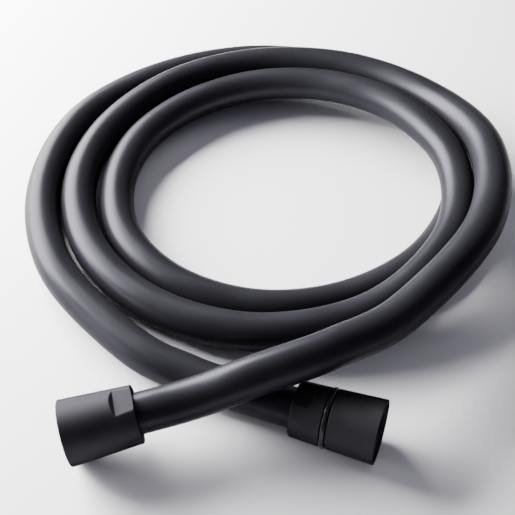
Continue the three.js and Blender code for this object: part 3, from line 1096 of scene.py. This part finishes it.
    @staticmethod
    def clip():
        """Open spring ring: a rounded rectangle carried round most of a turn. The
        last ring at each end shrinks to its middle, which closes the end."""
        inner = CLIP_GROOVE_R + SEAT_GAP
        section = rounded(
            [(inner, CLIP_REAR), (CLIP_R, CLIP_REAR), (CLIP_R, CLIP_FRONT), (inner, CLIP_FRONT)],
            [CLIP_ROUND] * 4,
            steps=4,
        )
        end = 2 * math.pi - CLIP_HALF_OPENING
        turn = np.linspace(CLIP_HALF_OPENING, end, CLIP_COLUMNS)
        turn = np.concatenate(([turn[0]], turn, [turn[-1]]))[None] + math.pi / 2
        shrink = np.ones(turn.shape)
        shrink[:, [0, -1]] = 0
        middle = section.mean(0)
        radius = middle[0] + (section[:, 0, None] - middle[0]) * shrink
        along = middle[1] + (section[:, 1, None] - middle[1]) * shrink
        return skin_round("right_clip", RIGHT, radius, along, turn + 0 * radius)


class SHOWERHOSE_OT_inner_pieces(bpy.types.Operator):
    """Finish the pieces that stay hidden inside the fittings"""

    bl_idname = "shower_hose.inner_pieces"
    bl_label = "Finish Inner Pieces"

    def execute(self, context):
        steel = made_once("bright_steel", bright_steel)
        rubber = made_once("seal_rubber", seal_rubber)
        finish_node("left_crimp_ferrule", steel)
        finish_node("right_crimp_ferrule", steel)
        finish_node("left_glide_ring", white_acetal())
        finish_node("right_rear_o_ring", rubber)
        finish_node("right_front_o_ring", rubber)
        return {"FINISHED"}


class SHOWERHOSE_OT_stage(bpy.types.Operator):
    """Set the pale table and the soft window light"""

    bl_idname = "shower_hose.stage"
    bl_label = "Set Stage"

    def execute(self, context):
        look = context.scene.shower_table
        table = self.table()
        table.data.materials.append(table_top(look))
        self.soft_light("window", WINDOW_PLACE, WINDOW_SIZE, look.window_power)
        self.soft_light("left_wall", LEFT_WALL_PLACE, LEFT_WALL_SIZE, look.left_power)
        self.soft_light("back_wall", BACK_WALL_PLACE, BACK_WALL_SIZE, look.wall_power)
        world = bpy.data.worlds.new("soft_room")
        world.use_nodes = True
        background = world.node_tree.nodes["Background"]
        background.inputs["Color"].default_value = (*ROOM_COLOUR, 1)
        background.inputs["Strength"].default_value = look.room_light
        context.scene.world = world
        return {"FINISHED"}

    @staticmethod
    def table():
        """Flat square grid far wider than the hose."""
        side = np.linspace(-TABLE_HALF, TABLE_HALF, TABLE_LINES)
        x, y = np.meshgrid(side, side)
        points = np.stack((x, y, 0 * x), -1).reshape(-1, 3)
        index = np.arange(x.size).reshape(x.shape)
        near, far = index[:-1], index[1:]
        quads = np.stack((near[:, :-1], near[:, 1:], far[:, 1:], far[:, :-1]), -1)
        mesh = bpy.data.meshes.new("table_top")
        mesh.from_pydata(points.tolist(), [], quads.reshape(-1, 4).tolist())
        table = bpy.data.objects.new("table_top", mesh)
        bpy.context.scene.collection.objects.link(table)
        return table

    @staticmethod
    def soft_light(name, place, size, power):
        """Rectangle of light that faces the table and isn't seen itself."""
        data = bpy.data.lights.new(name, "AREA")
        data.shape = "RECTANGLE"
        data.size, data.size_y = size
        data.energy = power
        light = bpy.data.objects.new(name, data)
        light.visible_camera = False
        light.location = place
        facing = Vector(LIGHT_AIM) - Vector(place)
        light.rotation_euler = facing.to_track_quat("-Z", "Y").to_euler()
        bpy.context.scene.collection.objects.link(light)


class SHOWERHOSE_PT_panel(bpy.types.Panel):
    """Sizes and finishes of the shower hose"""

    bl_idname = "SHOWERHOSE_PT_panel"
    bl_label = "Shower Hose"
    bl_space_type = "VIEW_3D"
    bl_region_type = "UI"
    bl_category = "Shower Hose"

    def draw(self, context):
        scene = context.scene
        for title, group in (
            ("Hose", scene.shower_hose),
            ("Couplings", scene.shower_couplings),
            ("Table and light", scene.shower_table),
        ):
            box = self.layout.box()
            box.label(text=title)
            for name in group.bl_rna.properties.keys():
                if name not in ("rna_type", "name"):
                    box.prop(group, name)
        for operator in STEPS:
            self.layout.operator(operator.bl_idname)


STEPS = (
    SHOWERHOSE_OT_camera,
    SHOWERHOSE_OT_left_fitting,
    SHOWERHOSE_OT_hose,
    SHOWERHOSE_OT_right_fitting,
    SHOWERHOSE_OT_inner_pieces,
    SHOWERHOSE_OT_stage,
)
CLASSES = (HoseSettings, CouplingSettings, TableSettings, *STEPS, SHOWERHOSE_PT_panel)


def register():
    for cls in CLASSES:
        bpy.utils.register_class(cls)
    bpy.types.Scene.shower_hose = bpy.props.PointerProperty(type=HoseSettings)
    bpy.types.Scene.shower_couplings = bpy.props.PointerProperty(type=CouplingSettings)
    bpy.types.Scene.shower_table = bpy.props.PointerProperty(type=TableSettings)


def unregister():
    del bpy.types.Scene.shower_table
    del bpy.types.Scene.shower_couplings
    del bpy.types.Scene.shower_hose
    for cls in reversed(CLASSES):
        bpy.utils.unregister_class(cls)


def main():
    register()
    bpy.ops.shower_hose.camera()
    bpy.ops.shower_hose.left_fitting()
    bpy.ops.shower_hose.hose()
    bpy.ops.shower_hose.right_fitting()
    bpy.ops.shower_hose.inner_pieces()
    bpy.ops.shower_hose.stage()


if __name__ == "__main__":
    main()
